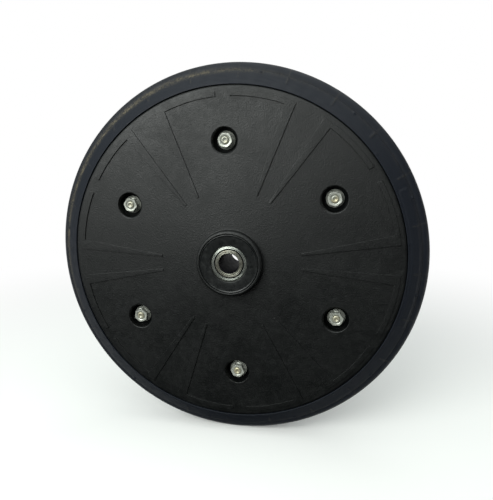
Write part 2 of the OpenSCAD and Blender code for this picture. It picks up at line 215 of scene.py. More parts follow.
def fill(tree, node, sockets):
    """Links each input socket of a node to an output, or sets it to a constant."""
    for name, value in sockets.items():
        if isinstance(value, bpy.types.NodeSocket):
            tree.links.new(value, node.inputs[name])
        else:
            node.inputs[name].default_value = value


def add(tree, kind, sockets=None, **settings):
    """Adds a node with its settings, then fills its input sockets."""
    node = tree.nodes.new(kind)
    for name, value in settings.items():
        setattr(node, name, value)
    fill(tree, node, sockets or {})
    return node


def start_material(name):
    """A new material, its node tree, its shader and its Object coordinates."""
    material = bpy.data.materials.new(name)
    material.use_nodes = True
    tree = material.node_tree
    shader = tree.nodes["Principled BSDF"]
    place = add(tree, "ShaderNodeTexCoord").outputs["Object"]
    return material, tree, shader, place


def axle_distance(tree, place):
    """Socket with the distance from the axle: the length of (x, 0, z)."""
    flat = add(tree, "ShaderNodeVectorMath", {0: place, 1: (1, 0, 1)}, operation="MULTIPLY")
    return add(tree, "ShaderNodeVectorMath", {0: flat.outputs[0]}, operation="LENGTH").outputs["Value"]


def recess_distance(tree, place, bolt_circle_r):
    """Socket with the distance from the axis of the nearest bolt. The angle from the first bolt is folded
    into one sector, and the point (radius, radius times angle) is measured from (bolt circle radius, 0)."""
    half_sector = math.pi / BOLTS
    axes = add(tree, "ShaderNodeSeparateXYZ", {0: place})
    angle = add(tree, "ShaderNodeMath", {0: axes.outputs["Z"], 1: axes.outputs["X"]}, operation="ARCTAN2")
    first = add(tree, "ShaderNodeMath", {0: angle.outputs[0], 1: BOLT_ANGLES[0]}, operation="SUBTRACT")
    fold = add(tree, "ShaderNodeMath", {
        0: first.outputs[0], 1: -half_sector, 2: half_sector}, operation="WRAP")
    radius = axle_distance(tree, place)
    across = add(tree, "ShaderNodeMath", {0: radius, 1: fold.outputs[0]}, operation="MULTIPLY")
    spot = add(tree, "ShaderNodeCombineXYZ", {0: radius, 1: across.outputs[0]})
    gap = add(tree, "ShaderNodeVectorMath", {
        0: spot.outputs[0], 1: (bolt_circle_r, 0, 0)}, operation="DISTANCE")
    return gap.outputs["Value"]


def moulded_polypropylene(s, c):
    """Black polypropylene from a fine-grained mould: near black with a satin sheen that is cloudy from flow
    and handling, and a little dust that lies in the grain. Inside the recesses round the nuts and heads the
    sheen is turned down as painted shade."""
    material, tree, shader, place = start_material("moulded black polypropylene")
    flow_size = 26 * MM
    smear_size = 5 * MM
    # The real grain is about 0.3 mm, drawn at 1.1 mm so that it shows in the render
    grain_size = 1.1 * MM
    # Painted shade: the sheen is turned down inside the recesses round the nuts and heads
    recess_shade = add(tree, "ShaderNodeMapRange", {
        "Value": recess_distance(tree, place, s.bolt_circle_r),
        "From Min": s.recess_r - 0.1 * MM, "From Max": s.recess_r + 0.2 * MM, "To Min": 0.12, "To Max": 1})
    cloud = add(tree, "ShaderNodeTexNoise", {
        "Vector": place, "Scale": 1 / flow_size, "Detail": 5, "Roughness": 0.62})
    smear = add(tree, "ShaderNodeTexNoise", {
        "Vector": place, "Scale": 1 / smear_size, "Detail": 4, "Roughness": 0.7})
    grain = add(tree, "ShaderNodeTexNoise", {"Vector": place, "Scale": 1 / grain_size, "Detail": 2})
    both = add(tree, "ShaderNodeMath", {0: cloud.outputs[0], 1: smear.outputs[0]}, operation="ADD")
    gloss = add(tree, "ShaderNodeMapRange", {
        "Value": both.outputs[0], "From Min": 0.82, "From Max": 1.18, "To Min": 0.45, "To Max": 0.58})
    speck = add(tree, "ShaderNodeMapRange", {
        "Value": smear.outputs[0], "From Min": 0.52, "From Max": 0.80, "To Min": 0, "To Max": 0.016})
    skin = add(tree, "ShaderNodeMix", {
        "Factor": speck.outputs[0], MIX_A: (*c.plastic, 1), MIX_B: (*c.plastic_dust, 1)}, data_type="RGBA")
    wave = add(tree, "ShaderNodeBump", {"Height": cloud.outputs[0], "Strength": 0.5, "Distance": 0.35 * MM})
    fine = add(tree, "ShaderNodeBump", {
        "Height": grain.outputs[0], "Strength": 0.8, "Distance": 0.24 * MM, "Normal": wave.outputs[0]})
    fill(tree, shader, {
        "Base Color": skin.outputs[MIX_RESULT], "Roughness": gloss.outputs[0], "Normal": fine.outputs[0],
        "Specular Tint": recess_shade.outputs[0], "IOR": 1.49})
    return material


def vulcanised_rubber(c):
    """Black rubber from a machined mould: a slightly blue, soft sheen, streaks round the wheel
    and dry soil that has stayed along the shoulder ridge."""
    material, tree, shader, place = start_material("vulcanised black rubber")
    cloud_size = 9 * MM
    # The real pores are under 0.5 mm, drawn at 1.4 mm so that they show
    pore_size = 1.4 * MM
    soil = add(tree, "ShaderNodeAttribute", attribute_name="soil").outputs["Fac"]
    streak = add(tree, "ShaderNodeAttribute", attribute_name="streak").outputs["Fac"]
    cloud = add(tree, "ShaderNodeTexNoise", {
        "Vector": place, "Scale": 1 / cloud_size, "Detail": 5, "Roughness": 0.65})
    pore = add(tree, "ShaderNodeTexNoise", {"Vector": place, "Scale": 1 / pore_size, "Detail": 3})
    patch = add(tree, "ShaderNodeMapRange", {
        "Value": pore.outputs[0], "From Min": 0.36, "From Max": 0.62, "To Min": 0.15, "To Max": 1})
    cover = add(tree, "ShaderNodeMath", {0: soil, 1: patch.outputs[0]}, operation="MULTIPLY")
    skin = add(tree, "ShaderNodeMix", {
        "Factor": cover.outputs[0], MIX_A: (*c.rubber, 1), MIX_B: (*c.soil, 1)}, data_type="RGBA")
    both = add(tree, "ShaderNodeMath", {0: cloud.outputs[0], 1: streak}, operation="ADD")
    gloss = add(tree, "ShaderNodeMapRange", {
        "Value": both.outputs[0], "From Min": 0.5, "From Max": 1.5, "To Min": 0.50, "To Max": 0.64})
    bump = add(tree, "ShaderNodeBump", {"Height": pore.outputs[0], "Strength": 0.3, "Distance": 0.1 * MM})
    fill(tree, shader, {
        "Base Color": skin.outputs[MIX_RESULT], "Roughness": gloss.outputs[0], "Normal": bump.outputs[0],
        "IOR": 1.52, "Specular IOR Level": 0.24})
    return material


def plated_steel(name, base, tint, metallic, roughness):
    """Steel with a thin plated or passivated skin: bright, a little milky, with a tint that drifts
    over the piece and fine scratches that break its highlights."""
    material, tree, shader, place = start_material(name)
    drift_size = 4 * MM
    scratch_size = 0.7 * MM
    uneven = 0.07
    drift = add(tree, "ShaderNodeTexNoise", {"Vector": place, "Scale": 1 / drift_size, "Detail": 3})
    fine = add(tree, "ShaderNodeTexNoise", {"Vector": place, "Scale": 1 / scratch_size, "Detail": 3})
    mixed = add(tree, "ShaderNodeMapRange", {"Value": drift.outputs[0], "From Min": 0.35, "From Max": 0.65})
    skin = add(tree, "ShaderNodeMix", {
        "Factor": mixed.outputs[0], MIX_A: (*base, 1), MIX_B: (*tint, 1)}, data_type="RGBA")
    gloss = add(tree, "ShaderNodeMapRange", {
        "Value": fine.outputs[0], "From Min": 0.3, "From Max": 0.7,
        "To Min": roughness - uneven, "To Max": roughness + uneven})
    bump = add(tree, "ShaderNodeBump", {"Height": fine.outputs[0], "Strength": 0.15, "Distance": 0.03 * MM})
    fill(tree, shader, {
        "Base Color": skin.outputs[MIX_RESULT], "Roughness": gloss.outputs[0], "Normal": bump.outputs[0],
        "Metallic": metallic})
    return material


def turned_steel(name, base, tint, roughness, ring_w, ring_h, crown):
    """Turned or ground steel: bright metal whose rings about the axle spread the highlights up and down.
    A crowned face, which falls by the crown for each unit of radius, is bright above and dark below."""
    material, tree, shader, place = start_material(name)
    drift_size = 3 * MM
    smoother, rougher = 0.06, 0.08
    radius = axle_distance(tree, place)
    rings = add(tree, "ShaderNodeTexNoise", {
        "W": radius, "Scale": 1 / ring_w, "Detail": 2}, noise_dimensions="1D")
    drift = add(tree, "ShaderNodeTexNoise", {"Vector": place, "Scale": 1 / drift_size, "Detail": 3})
    skin = add(tree, "ShaderNodeMix", {
        "Factor": drift.outputs[0], MIX_A: (*base, 1), MIX_B: (*tint, 1)}, data_type="RGBA")
    gloss = add(tree, "ShaderNodeMapRange", {
        "Value": rings.outputs[0], "From Min": 0.3, "From Max": 0.7,
        "To Min": roughness - smoother, "To Max": roughness + rougher})
    fall = add(tree, "ShaderNodeMath", {
        0: radius, 1: -crown / ring_h, 2: rings.outputs[0]}, operation="MULTIPLY_ADD")
    bump = add(tree, "ShaderNodeBump", {"Height": fall.outputs[0], "Strength": 1.0, "Distance": ring_h})
    fill(tree, shader, {
        "Base Color": skin.outputs[MIX_RESULT], "Roughness": gloss.outputs[0], "Normal": bump.outputs[0],
        "Metallic": 0.85})
    return material


def bearing_steel(c):
    """Ground steel of the bearing rings, made once: bright above, as the rings' faces are crowned."""
    name = "ground bearing steel"
    return bpy.data.materials.get(name) or turned_steel(
        name, c.ring_steel, c.spacer_steel, roughness=0.24, ring_w=0.35 * MM, ring_h=0.1 * MM, crown=0.37)


def satin_moulding(name, base, dust, roughness, mark_size, shine=0.5):
    """Small moulded or pressed pieces: an even satin skin with rubbed marks and specks of dust."""
    material, tree, shader, place = start_material(name)
    smoother, rougher = 0.08, 0.1
    rub = add(tree, "ShaderNodeTexNoise", {
        "Vector": place, "Scale": 1 / mark_size, "Detail": 4, "Roughness": 0.65})
    speck = add(tree, "ShaderNodeMapRange", {
        "Value": rub.outputs[0], "From Min": 0.55, "From Max": 0.8, "To Min": 0, "To Max": 0.06})
    skin = add(tree, "ShaderNodeMix", {
        "Factor": speck.outputs[0], MIX_A: (*base, 1), MIX_B: (*dust, 1)}, data_type="RGBA")
    gloss = add(tree, "ShaderNodeMapRange", {
        "Value": rub.outputs[0], "From Min": 0.3, "From Max": 0.7,
        "To Min": roughness - smoother, "To Max": roughness + rougher})
    bump = add(tree, "ShaderNodeBump", {"Height": rub.outputs[0], "Strength": 0.2, "Distance": 0.05 * MM})
    fill(tree, shader, {
        "Base Color": skin.outputs[MIX_RESULT], "Roughness": gloss.outputs[0], "Normal": bump.outputs[0],
        "Specular IOR Level": shine})
    return material


def plain_material(name, base, roughness):
    """A matt studio surface without any shine."""
    material, tree, shader, place = start_material(name)
    fill(tree, shader, {"Base Color": (*base, 1), "Roughness": roughness, "Specular IOR Level": 0})
    return material, tree, shader, place


def arc(centre, radius, start, end, count):
    """Points of an arc in radius and height, from one angle in degrees to another."""
    angle = np.radians(np.linspace(start, end, count))
    return np.column_stack([centre[0] + radius * np.cos(angle), centre[1] + radius * np.sin(angle)])


def line(start, end, count):
    """Points of a straight stretch in radius and height, without its last point."""
    return np.linspace(start, end, count, endpoint=False)


def rounded(corners, radius, count=5):
    """Closed profile with each corner cut by a quadratic curve between points at one distance from it,
    which stays under half the length of a short side: (1-t)^2 before + 2t(1-t) corner + t^2 after."""
    corners = np.asarray(corners, float)
    ahead = np.roll(corners, -1, 0) - corners
    length = np.linalg.norm(ahead, axis=1, keepdims=True)
    reach = np.minimum(radius, 0.45 * np.minimum(length, np.roll(length, 1, 0)))
    after = corners + ahead / length * reach
    before = corners - np.roll(ahead / length, 1, 0) * reach
    t = np.linspace(0, 1, count)[None, :, None]
    curve = (1 - t) ** 2 * before[:, None] + 2 * t * (1 - t) * corners[:, None] + t ** 2 * after[:, None]
    return curve.reshape(-1, 2)


def turn_angles(count):
    """Angles of one full turn, without its last, as one row."""
    return np.linspace(0, 2 * np.pi, count, endpoint=False)[None, :]


def stacked(parts, angle):
    """Radius, height and angle of every point of the rows that the parts give, one part after another."""
    return np.concatenate([np.broadcast_arrays(radius, height, angle) for radius, height in parts], 1)


def revolved(profile, count):
    """Radius, height and angle of every point of a profile that is turned about the axle."""
    return stacked([profile.T[..., None]], turn_angles(count))


def on_wheel(radius, height, angle):
    """Points of the wheel: (r cos a, -h, r sin a)."""
    return np.stack([radius * np.cos(angle), -height, radius * np.sin(angle)], -1)


def ring_faces(rows, columns):
    """Quads of a grid whose rows and columns both close on themselves, as a list of one block."""
    index = np.arange(rows * columns).reshape(rows, columns)
    right = np.roll(index, -1, 1)
    return [np.stack([index, right, np.roll(right, -1, 0), np.roll(index, -1, 0)], -1).reshape(-1, 4)]


def tube_faces(rows, columns):
    """Quads of a grid whose columns close, and a block of triangles to a pole at each end.
    The poles are the two points that follow the grid."""
    index = np.arange(rows * columns).reshape(rows, columns)
    right = np.roll(index, -1, 1)
    quads = np.stack([index[:-1], right[:-1], right[1:], index[1:]], -1).reshape(-1, 4)
    low = np.stack([right[0], index[0], np.full(columns, index.size)], -1)
    high = np.stack([index[-1], right[-1], np.full(columns, index.size + 1)], -1)
    return [quads, np.vstack([low, high])]


def for_each_bolt(blocks, points):
    """Blocks of faces repeated for every bolt, whose points follow one another."""
    starts = points * np.arange(BOLTS)[:, None, None]
    return [(block[None] + starts).reshape(-1, block.shape[1]) for block in blocks]


def new_piece(name, points, blocks, material, body, node, sharp=40):
    """An object from points and blocks of faces, turned outwards, riding on a body in place of a CAD node.
    The sign of the closed volume, the sum of a.(b x c)/6, says whether the faces are turned over."""
    points = points.reshape(-1, 3)
    a, b, c = points[np.vstack([block[:, :3] for block in blocks]).T]
    if np.sum(a * np.cross(b, c)) < 0:
        blocks = [block[:, ::-1] for block in blocks]
    mesh = bpy.data.meshes.new(name)
    mesh.from_pydata(points, [], sum([block.tolist() for block in blocks], []))
    mesh.polygons.foreach_set("use_smooth", np.ones(len(mesh.polygons), bool))
    mesh.set_sharp_from_angle(angle=math.radians(sharp))
    mesh.materials.append(material)
    piece = bpy.data.objects.new(name, mesh)
    bpy.context.scene.collection.objects.link(piece)
    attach(piece, body)
    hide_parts(node)
    return piece


def corner_shading():
    """Geometry nodes that shade faces smooth and keep corners sharp."""
    tree = bpy.data.node_groups.new("corner shading", "GeometryNodeTree")
    for way in ("INPUT", "OUTPUT"):
        tree.interface.new_socket("Geometry", in_out=way, socket_type="NodeSocketGeometry")
    start = add(tree, "NodeGroupInput")
    turn = add(tree, "GeometryNodeInputMeshEdgeAngle")
    corner = add(tree, "FunctionNodeCompare", {
        0: turn.outputs[0], 1: CORNER_ANGLE}, operation="GREATER_THAN")
    bare = add(tree, "GeometryNodeRemoveAttribute", {"Geometry": start.outputs[0], "Name": "custom_normal"})
    smooth = add(tree, "GeometryNodeSetShadeSmooth", {"Geometry": bare.outputs[0]})
    keep = add(tree, "GeometryNodeSetShadeSmooth", {
        "Geometry": smooth.outputs[0], "Selection": corner.outputs[0],
        "Shade Smooth": False}, domain="EDGE")
    add(tree, "NodeGroupOutput", {0: keep.outputs[0]})
    return tree


def finish_node(name, material, bevel=0):
    """Gives a CAD node its material, and softens its corners with live modifiers."""
    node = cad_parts[name]
    node.data.materials.clear()
    node.data.materials.append(material)
    weld = node.modifiers.new("Weld", "WELD")
    weld.merge_threshold = 0.002 * MM
    if bevel:
        soft = node.modifiers.new("Bevel", "BEVEL")
        soft.width = bevel
        soft.segments = 2
        soft.limit_method = "ANGLE"
        soft.angle_limit = CORNER_ANGLE
        soft.use_clamp_overlap = True
    shade = node.modifiers.new("Corner shading", "NODES")
    shade.node_group = bpy.data.node_groups.get("corner shading") or corner_shading()
    even = node.modifiers.new("Weighted normals", "WEIGHTED_NORMAL")
    even.mode = "FACE_AREA"
    even.weight = 100
    even.keep_sharp = True


def tyre_profile(s):
    """One side of the tyre in radius and height: chamber, slot, foot, sidewall, ridge and crown."""
    round_c = (s.side_r + s.side_round, s.side_half - s.side_round)
    tilt = math.atan2(s.side_half - s.ridge_half, s.ridge_r - s.side_r)
    side_start = arc(round_c, s.side_round, 180, 90 - math.degrees(tilt), 7)
    crown_c = (s.tread_r - s.crown_r, 0)
    crown_a = math.degrees(math.acos((s.ridge_r - crown_c[0]) / s.crown_r))
    ridge = np.array([s.ridge_r, s.ridge_half])
    ridge_in = ridge - s.ridge_edge * np.array([math.cos(tilt), -math.sin(tilt)])
    ridge_top = ridge + np.array([0.05 * MM, -0.2 * MM])
    slot_a = math.degrees(math.asin(s.slot_half / s.chamber_r))
    return np.vstack([
        arc((s.side_r, 0), s.chamber_r, 0, 180 - slot_a, 6),
        [(s.seat_r, s.slot_half), (s.seat_r, s.foot_half), (s.side_r, s.neck_half)],
        side_start,
        line(side_start[-1], ridge_in, 19)[1:],
        [ridge_in, ridge, ridge_top],
        arc(crown_c, s.crown_r, crown_a, 0, 11),
    ])


def smooth_step(low, high, value):
    """0 at low, 1 at high and 3t^2 - 2t^3 between."""
    t = np.clip((value - low) / (high - low), 0, 1)
    return t * t * (3 - 2 * t)


def bell(gap, width):
    """1 without a gap, and near 0 from two widths on: exp(-(gap / width)^2)."""
    return np.exp(-(gap / width) ** 2)


def near_angle(angle, centres):
    """Smallest distance in radians from each angle to any of the centres, which are in degrees."""
    gap = angle[..., None] - np.radians(centres)
    return np.abs((gap + np.pi) % (2 * np.pi) - np.pi).min(-1)


def ripple(angle, across, waves, seed):
    """Seamless streaks round the wheel, 0 to 1: a sum of cosines with whole numbers of waves per turn."""
    rng = np.random.default_rng(seed)
    count = 24
    turns = rng.integers(2, waves, count)
    slopes = rng.normal(0, 1.6, count) / MM
    starts = rng.uniform(0, 2 * np.pi, count)
    total = np.cos(angle[..., None] * turns + across[..., None] * slopes + starts).sum(-1)
    return np.clip(0.5 + total / (count / 2), 0, 1)


def vent_distance(s, radius, turn):
    """Distance along the sidewall from the nearest vent nub of the ridge."""
    return np.hypot(near_angle(turn, VENT_ANGLES) * radius, radius - (s.ridge_r - s.vent_inset))


def tick_mark(s, radius, turn, width):
    """Bells across the mould's ticks, which rise from their inner end."""
    gap = near_angle(turn, TICK_ANGLES) * radius
    return bell(gap, width) * smooth_step(s.tick_r, s.tick_r + s.tick_rise, radius)


def tyre_relief(s, radius, turn):
    """Height of what the mould leaves on the sidewalls: a flat plate with sloping edges and tapered ends,
    bells for the vent nubs, bells across the ticks and slow waves round the wheel."""
    taper = 0.12
    slow_waves, wave_seed, wave_lean = 9, 3, 0.2
    inner = smooth_step(0, s.plate_edge, radius - s.plate_in_r)
    outer = smooth_step(0, s.plate_edge, s.plate_out_r - radius)
    along = near_angle(turn, [PLATE_ANGLE]) * s.ridge_r + taper * np.abs(radius - s.plate_mid_r)
    plate = inner * outer * smooth_step(0, s.plate_end, s.plate_half - along) * s.plate_h
    vents = bell(vent_distance(s, radius, turn), s.vent_w) * s.vent_h
    root_gap = np.hypot(near_angle(turn, ROOT_VENT_ANGLES) * radius, radius - s.root_vent_r)
    root_vents = bell(root_gap, s.vent_w) * s.vent_h / 2
    ticks = tick_mark(s, radius, turn, s.tick_w) * s.tick_h
    waves = (ripple(turn, wave_lean * radius, slow_waves, wave_seed) - 0.5) * s.waviness
    return plate + vents + root_vents + ticks + waves


def soil_cover(s, radius, turn, streak):
    """Share of the rubber that soil hides: a bell along the ridge and a film on the crown, thickest at the
    upper left, broken by the streaks and rubbed off round the vent nubs, and scuffs along the ticks."""
    thin, thick, film, scuffed = 0.06, 0.75, 0.15, 0.14
    rubbed_w, scuff_w = 1.3 * MM, 0.5 * MM
    band = bell(radius - s.ridge_r, s.soil_w) + film * smooth_step(s.ridge_r, s.tread_r, radius)
    upper_left = smooth_step(75, 20, np.degrees(near_angle(turn, [SOIL_ANGLE])))
    broken = 0.45 + 0.55 * smooth_step(0.2, 0.8, streak)
    kept = 1 - bell(vent_distance(s, radius, turn), rubbed_w)
    soil = band * (thin + thick * upper_left) * broken * kept
    scuff = scuffed * tick_mark(s, radius, turn, scuff_w)
    return np.where(radius > s.side_r, np.maximum(soil, scuff), 0)


class PRESSWHEEL_OT_tyre(bpy.types.Operator):
    """Revolves the tyre's profile and lifts its vent nubs, mould ticks and bare plate"""
    bl_idname = "presswheel.tyre"
    bl_label = "Tyre"

    def execute(self, context):
        s = context.scene.press_wheel_sizes
        side = tyre_profile(s)
        profile = np.vstack([side, side[-2:0:-1] * (1, -1)])
        radius, height, turn = revolved(profile, TYRE_POINTS)
        sidewall = (radius > s.side_r) & (np.abs(height) > s.ridge_half - 1 * MM)
        height = height + np.sign(height) * np.where(sidewall, tyre_relief(s, radius, turn), 0)
        fine_waves, streak_seed = 90, 7
        streak = ripple(turn, radius, fine_waves, streak_seed)
        soil = soil_cover(s, radius, turn, streak)
        tyre = new_piece(
            "tyre_rubber", on_wheel(radius, height, turn), ring_faces(*radius.shape),
            vulcanised_rubber(context.scene.press_wheel_colours), "wheel", "tyre", sharp=50)
        for name, field in (("soil", soil), ("streak", streak)):
            tyre.data.attributes.new(name, "FLOAT", "POINT").data.foreach_set("value", field.ravel())
        return {"FINISHED"}


class PRESSWHEEL_OT_rims(bpy.types.Operator):
    """Gives the two half rims their plastic and soft moulded corners"""
    bl_idname = "presswheel.rims"
    bl_label = "Half rims"

    def execute(self, context):
        s = context.scene.press_wheel_sizes
        plastic = moulded_polypropylene(s, context.scene.press_wheel_colours)
        for name in ("front_half_rim", "rear_half_rim"):
            finish_node(name, plastic, bevel=s.corner_bevel)
        return {"FINISHED"}


def hexagon(angle, flat):
    """Radius of a hexagon about its axis, corners at whole sixths of a turn: flat / cos(a mod 60 - 30)."""
    return flat / np.cos(np.mod(angle, np.pi / 3) - np.pi / 6)


def flange_hex_rows(s, flat, top, angle):
    """Outside of a flanged hexagon from its seat to its top, in radius and height for each angle.
    The hexagon is cut by a 30 degree cone at its top, so its corners end in curved chamfers."""
    edge = s.flange_round
    root = s.hexagon_h
    fillet = 0.15 * MM
    land = 0.4 * MM
    flange = np.vstack([
        [(s.flange_r - 0.25 * MM, 0)],
        arc((s.flange_r - edge, edge), edge, -60, 80, 6),
        line((s.flange_r - 0.5 * MM, s.flange_h * 0.75), (flat + 5 * fillet, root), 4)[1:],
        [(flat + 3 * fillet, root + fillet)],
    ])
    rim_r, rim_h = flange.T[..., None]
    levels = np.concatenate([[root + 2 * fillet], np.linspace(root + 4 * fillet, top, 18)])[:, None]
    sides = hexagon(angle, flat)
    slope = np.where(rim_h > s.flange_h, np.maximum(rim_r, sides), rim_r)
    cone = flat + land + (top - levels) / math.tan(math.radians(30))
    return stacked([(slope, rim_h), (np.minimum(sides, cone), levels)], angle)[:2]


def at_bolt(s, bolt_angle, radius, height, angle):
    """Points about a bolt's axis, moved to its place on the bolt circle."""
    centre = s.bolt_circle_r * np.array([math.cos(bolt_angle), 0, math.sin(bolt_angle)])
    return (centre + on_wheel(radius, height, angle)).reshape(-1, 3)


class PRESSWHEEL_OT_fasteners(bpy.types.Operator):
    """Makes the six flange nuts, and the six bolts with threads and dimpled ends"""
    bl_idname = "presswheel.fasteners"
    bl_label = "Nuts and bolts"

    def nuts(self, s, material):
        """Rows run from the seat over the flange and hexagon to the threaded hole and back."""
        angle = turn_angles(NUT_POINTS)
        top = NUT_TOP - NUT_FLOOR
        radius, height = flange_hex_rows(s, s.nut_flat, top, angle)
        hole = s.bolt_r + 0.06 * MM
        sink_w, sink_h, seat_edge = 0.75 * MM, 0.6 * MM, 0.3 * MM
        inside = np.array([
            (hole + sink_w + 0.1 * MM, top), (hole + sink_w, top - 0.04 * MM), (hole, top - sink_h),
            (hole, seat_edge), (hole + seat_edge, 0)])
        radius, height, turn = stacked([(radius, height), inside.T[..., None]], angle)
        points = np.concatenate([
            at_bolt(s, place, radius, NUT_FLOOR + height, turn + corner)
            for place, corner in zip(BOLT_ANGLES, NUT_CORNERS)])
        blocks = for_each_bolt(ring_faces(*radius.shape), radius.size)
        new_piece(
            "clamp_nuts_zinc", points, blocks, material, "wheel", "clamp_nuts", sharp=28)

    def thread(self, s, levels, angle):
        """Radius of the threaded end: a triangle wave of the height in pitches less the angle in turns,
        which fades in from the shank and is cut by the cone at the tip."""
        fade, crest_wear, tip_h, tip_slope = 1 * MM, 0.05 * MM, 0.5 * MM, 1.5
        phase = np.mod(levels / s.thread_pitch - angle / (2 * np.pi), 1)
        groove = s.thread_depth * np.abs(2 * phase - 1) * smooth_step(levels[0], levels[0] + fade, levels)
        cone = s.bolt_r - crest_wear + tip_slope * np.minimum(BOLT_TIP - tip_h - levels, 0)
        return np.minimum(s.bolt_r - groove, cone)

    def bolts(self, s, material):
        """Rows run from the head's top over its flange and the shank to the end with its dimple. The heads
        seat as far behind the middle plane as the nuts do before it."""
        angle = turn_angles(BOLT_POINTS)
        shank_end, thread_start, tip_h, dimple = 3 * MM, 4 * MM, 0.55 * MM, 0.65 * MM
        head_r, head_h = flange_hex_rows(s, s.head_flat, HEAD_TOP - NUT_FLOOR, angle)
        top_r = np.array([[0.25], [0.6], [0.9]]) * s.head_flat
        shank_h = np.array([[-NUT_FLOOR], [-NUT_FLOOR + 1 * MM], [shank_end]])
        levels = np.append(np.linspace(thread_start, BOLT_TIP - tip_h, 72), BOLT_TIP - 0.3 * MM)[:, None]
        end = np.array([(2.35, 0.08), (2.0, 0), (1.6, 0.06), (1.2, 0.25), (0.8, 0.48), (0.4, 0.6)]) * MM
        radius, height, turn = stacked([
            (top_r, -HEAD_TOP), (head_r[::-1], -NUT_FLOOR - head_h[::-1]), (s.bolt_r, shank_h),
            (self.thread(s, levels, angle), levels), (end[:, :1], BOLT_TIP - end[:, 1:])], angle)
        poles_h = np.array([-HEAD_TOP, BOLT_TIP - dimple])
        outside_and_poles = ((radius, height, turn), (0 * poles_h, poles_h, 0 * poles_h))
        points = np.concatenate([
            at_bolt(s, place, *grid) for place in BOLT_ANGLES for grid in outside_and_poles])
        blocks = for_each_bolt(tube_faces(*radius.shape), radius.size + poles_h.size)
        new_piece(
            "clamp_bolts_zinc", points, blocks, material, "wheel", "clamp_bolts", sharp=35)

    def execute(self, context):
        s = context.scene.press_wheel_sizes
        c = context.scene.press_wheel_colours
        self.nuts(s, plated_steel(
            "bright zinc plated steel", c.zinc, c.zinc_tint, metallic=0.45, roughness=0.30))
        self.bolts(s, plated_steel(
            "yellow tinted zinc steel", c.bolt_tint, c.zinc_tint, metallic=0.5, roughness=0.36))
        return {"FINISHED"}


class PRESSWHEEL_OT_hub(bpy.types.Operator):
    """Revolves the axle bush and the two dust caps with their rounded corners"""
    bl_idname = "presswheel.hub"
    bl_label = "Bush and dust caps"

    def bush(self, s, c):
        """The profile runs from the rim over the groove and the end face to the bore, and back at the far
        end. Its faces are passivated, near black with painted shade and some old grease in the bore and the
        groove, and ground on the rim."""
        slack = 0.05 * MM
        rim_h = BUSH_HALF - 0.03 * MM
        groove_h = BUSH_HALF - s.bush_groove
        end = np.array([
            (BUSH_R, BUSH_HALF - s.ring_chamfer), (BUSH_R + s.ring_chamfer - slack, rim_h),
            (s.bush_rim_r, rim_h), (s.bush_rim_r - slack, groove_h),
            (s.bush_face_r + 3 * slack, groove_h), (s.bush_face_r, BUSH_HALF), (s.bush_bore_r, BUSH_HALF)])
        profile = rounded(np.vstack([end, end[::-1] * (1, -1)]), 0.5 * MM, 6)
        radius, height, turn = revolved(profile, HUB_POINTS)
        passivated = turned_steel(
            "yellow passivated turned steel", c.passivate, c.zinc_tint,
            roughness=0.27, ring_w=0.5 * MM, ring_h=0.3 * MM, crown=0.03)
        # Painted shade, partly old grease: the bore and the groove get a near-black finish with almost no
        # shine
        greasy_and_shaded = satin_moulding(
            "greasy and shaded steel", c.grease_and_shade, c.passivate, roughness=0.55, mark_size=3 * MM, shine=0.04)
        bush = new_piece(
            "axle_bush_steel", on_wheel(radius, height, turn), ring_faces(*radius.shape),
            passivated, "hub_core", "axle_bush")
        bush.data.materials.append(greasy_and_shaded)
        bush.data.materials.append(bearing_steel(c))
        middle_r, middle_h = np.abs(profile + np.roll(profile, -1, 0)).T / 2
        at_end = middle_h > BUSH_HALF - 0.3 * MM
        in_bore = middle_r < s.bush_bore_r + 0.01 * MM
        in_groove = (middle_r > s.bush_face_r) & ~at_end
        on_rim = (middle_r > s.bush_rim_r - slack) & at_end
        kinds = np.select([in_bore | in_groove, on_rim], [1, 2], 0).astype(np.int32)
        bush.data.polygons.foreach_set("material_index", np.repeat(kinds, radius.shape[1]))

    def caps(self, s, c):
        """The profile runs from the hole under the cap to its foot, up its side, over the bead and back."""
        under = BUSH_HALF + s.cap_relief
        plate = CAP_TOP - s.cap_bead
        bead_r = CAP_R - s.cap_edge
        profile = rounded([
            (s.cap_hole_r - s.cap_slope, under), (s.cap_foot_r, under), (s.cap_foot_r, BUSH_HALF),
            (CAP_R, BUSH_HALF), (CAP_R, CAP_TOP - s.cap_edge), (bead_r, CAP_TOP),
            (bead_r - s.cap_bead_w, CAP_TOP), (bead_r - s.cap_bead_w - s.cap_edge, plate),
            (s.cap_hole_r, plate)], 0.25 * MM)
        radius, height, turn = revolved(profile, HUB_POINTS)
        satin = satin_moulding(
            "dark satin dust cap", c.cap, c.plastic_dust, roughness=0.32, mark_size=4 * MM)
        for name, sense in (("front_dust_cap", 1), ("rear_dust_cap", -1)):
            new_piece(
                name + "_satin", on_wheel(radius, sense * height, turn), ring_faces(*radius.shape),
                satin, "wheel", name)

    def execute(self, context):
        s = context.scene.press_wheel_sizes
        c = context.scene.press_wheel_colours
        self.bush(s, c)
        self.caps(s, c)
        return {"FINISHED"}


